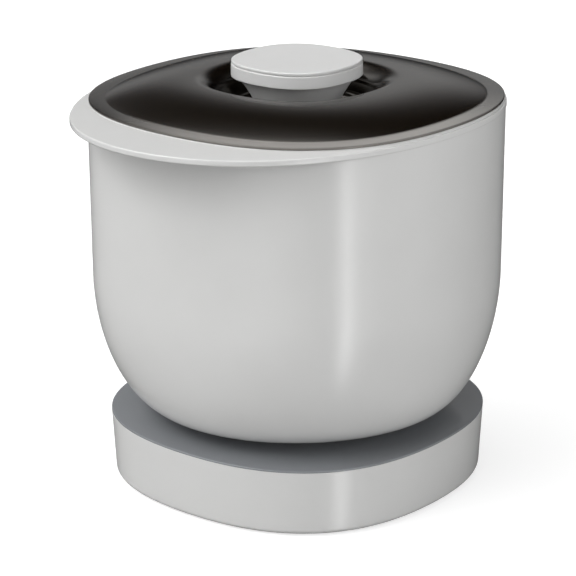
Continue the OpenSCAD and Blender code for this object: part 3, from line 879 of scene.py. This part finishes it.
class BUCKET_OT_studio(bpy.types.Operator):
    """Sets up the pale floor, the world with its soft panels, and the camera"""
    bl_idname = "bucket.studio"
    bl_label = "Set Up Studio"

    def execute(self, context):
        scene, size = context.scene, context.scene.bucket_studio
        scene.view_settings.view_transform = "Standard"
        self.floor(size)
        self.world(scene)
        self.camera(scene, size)
        return {"FINISHED"}

    def floor(self, size):
        """A flat disc, whose rings grow outwards with the square of their number. The smallest ring is
        closed by one face."""
        rings, around = 23, 96
        turn = turns(around)
        radii = size.floor_radius * np.linspace(0, 1, rings + 1)[:0:-1, None] ** 2
        points = np.stack([radii * np.cos(turn), radii * np.sin(turn), np.zeros((rings, around))], axis=-1)
        index = np.arange(rings * around).reshape(rings, around)
        faces = [*faces_between(index[:-1], index[1:]).tolist(), index[-1].tolist()]
        mesh = bpy.data.meshes.new("floor")
        mesh.from_pydata(points.reshape(-1, 3).tolist(), [], faces)
        mesh.materials.append(self.floor_finish())
        floor = bpy.data.objects.new("floor", mesh)
        bpy.context.scene.collection.objects.link(floor)
        floor.visible_glossy = False

    def floor_finish(self):
        """Pale floor with a faint cloud in it. A camera sees it lighter than it is lit, up to white, and
        its shadows stay."""
        dark, pale, extra = (0.52, 0.52, 0.52), (0.54, 0.54, 0.54), 0.66
        shader = start("studio_floor")
        shade = shader.blend(shader.noise(scale=3.0, detail=2.0), dark, pale)
        diffuse = shader.node("ShaderNodeBsdfDiffuse", {}, {"Color": shade})
        seen = shader.node("ShaderNodeLightPath", output="Is Camera Ray")
        glow = shader.node("ShaderNodeEmission", {}, {"Color": (1, 1, 1), "Strength": seen * extra})
        both = shader.node("ShaderNodeAddShader", {}, {0: diffuse, 1: glow})
        shader.node("ShaderNodeOutputMaterial", {}, {"Surface": both})
        return shader.owner

    def world(self, scene):
        """A studio of soft panels round the object, each with its azimuth, elevation, half width, half
        height (degrees) and level. Those below the horizon show in polished walls alone, for the floor,
        which glossy rays pass, hides them from everything else. The world isn't sampled as a lamp is,
        because the floor would stop the test rays towards them. The camera, and what is seen through clear
        plastic, has white behind it."""
        panels = {
            "key": (335, 48, 34, 13, 6.8),
            "left": (285, 24, 28, 11, 1.4),
            "left_front": (325, 24, 26, 11, 2.4),
            "left_high": (280, 60, 34, 14, 2.4),
            "front": (40, 24, 28, 11, 1.6),
            "right": (95, 24, 34, 11, 2.6),
            "right_horizon": (95, 5, 40, 8, 1.7),
            "back": (213, 16, 11, 12, 0.5),
            "back_left": (230, 8, 12, 8, 0.32),
            "back_high": (220, 69, 40, 12, 1.3),
            "top": (0, 90, 400, 14, 2.9),
            "strip": (72, -26, 6, 16, 5.5),
            "beside_strip": (84, -14, 16, 12, 1.8),
            "right_below": (120, -14, 24, 12, 1.4),
            "front_below": (10, -14, 30, 12, 1.2),
            "left_below": (290, -14, 45, 12, 0.3),
            "right_deep": (95, -40, 50, 14, 0.7),
        }
        world = bpy.data.worlds.new("studio")
        shader = Shader(world)
        direction = shader.node("ShaderNodeTexCoord", output="Generated")
        height = shader.node("ShaderNodeSeparateXYZ", {}, {0: direction}, output="Z")
        elevation = shader.maths("ARCSINE", height)
        total = 0.0
        for azimuth, middle, wide, tall, level in panels.values():
            total = self.panel(shader, direction, elevation, azimuth, middle, wide, tall) * level + total
        seen = shader.node("ShaderNodeLightPath", output="Is Camera Ray")
        through = shader.node("ShaderNodeLightPath", output="Is Transmission Ray")
        backdrop = shader.maths("MAXIMUM", seen, through)
        strength = shader.node("ShaderNodeMix", {"data_type": "FLOAT"}, {0: backdrop, 2: total, 3: 1.0})
        sky = shader.node("ShaderNodeBackground", {}, {"Color": (1, 1, 1), "Strength": strength})
        shader.node("ShaderNodeOutputWorld", {}, {"Surface": sky})
        world.cycles.sampling_method = "NONE"
        scene.world = world

    def panel(self, shader, direction, elevation, azimuth, middle, wide, tall):
        """Level of one panel: one at its middle, falling off as a bell to the sides, up and down."""
        turn = np.radians(azimuth)
        ahead = self.along(shader, direction, np.sin(turn), -np.cos(turn))
        aside = self.along(shader, direction, np.cos(turn), np.sin(turn))
        across = shader.maths("ARCTAN2", aside, ahead) * (1 / np.radians(wide))
        up = (elevation - np.radians(middle)) * (1 / np.radians(tall))
        off = across * across + up * up
        return shader.maths("EXPONENT", off * -1.0)

    def along(self, shader, direction, x, y):
        """How far a direction goes along a level one."""
        return shader.node("ShaderNodeVectorMath", {"operation": "DOT_PRODUCT"},
                           {0: direction, 1: (x, y, 0)}, output="Value")

    def camera(self, scene, size):
        """Camera at its azimuth and elevation round the aim point, turned by its own pitch, yaw and roll."""
        around, above = size.azimuth, size.elevation
        place = size.distance * size.unit * np.array(
            [np.sin(around) * np.cos(above), -np.cos(around) * np.cos(above), np.sin(above)])
        place[2] += size.aim_height * size.unit
        heading = around + size.yaw
        ahead = np.array([-np.sin(heading) * np.cos(size.pitch), np.cos(heading) * np.cos(size.pitch),
                          -np.sin(size.pitch)])
        side = np.cross(ahead, (0, 0, 1))
        side /= np.linalg.norm(side)
        over = np.cross(side, ahead)
        right = np.cos(size.roll) * side + np.sin(size.roll) * over
        up = np.cos(size.roll) * over - np.sin(size.roll) * side
        turned = Matrix(np.column_stack([right, up, -ahead]).tolist()).to_4x4()
        lens = bpy.data.cameras.new("camera")
        lens.lens = size.focus
        camera = bpy.data.objects.new("camera", lens)
        camera.matrix_world = Matrix.Translation(place) @ turned
        scene.collection.objects.link(camera)
        scene.camera = camera


OPERATORS = [BUCKET_OT_body, BUCKET_OT_lid, BUCKET_OT_seal, BUCKET_OT_knob, BUCKET_OT_stand, BUCKET_OT_cage,
             BUCKET_OT_studio]


class BUCKET_PT_sidebar(bpy.types.Panel):
    """Lists the settings and the steps that build the bucket"""
    bl_idname = "BUCKET_PT_sidebar"
    bl_label = "Storage Bucket"
    bl_space_type = "VIEW_3D"
    bl_region_type = "UI"
    bl_category = "Bucket"

    def draw(self, context):
        for step in OPERATORS:
            self.layout.operator(step.bl_idname)
        for name in SETTINGS:
            box = self.layout.box()
            settings = getattr(context.scene, name)
            for key in settings.__annotations__:
                box.prop(settings, key)


def register():
    for name, group in SETTINGS.items():
        bpy.utils.register_class(group)
        setattr(bpy.types.Scene, name, PointerProperty(type=group))
    for step in (*OPERATORS, BUCKET_PT_sidebar):
        bpy.utils.register_class(step)


def unregister():
    for step in (BUCKET_PT_sidebar, *reversed(OPERATORS)):
        bpy.utils.unregister_class(step)
    for name, group in reversed(SETTINGS.items()):
        delattr(bpy.types.Scene, name)
        bpy.utils.unregister_class(group)


def main():
    register()
    for step in OPERATORS:
        family, name = step.bl_idname.split(".")
        getattr(getattr(bpy.ops, family), name)()


if __name__ == "__main__":
    main()
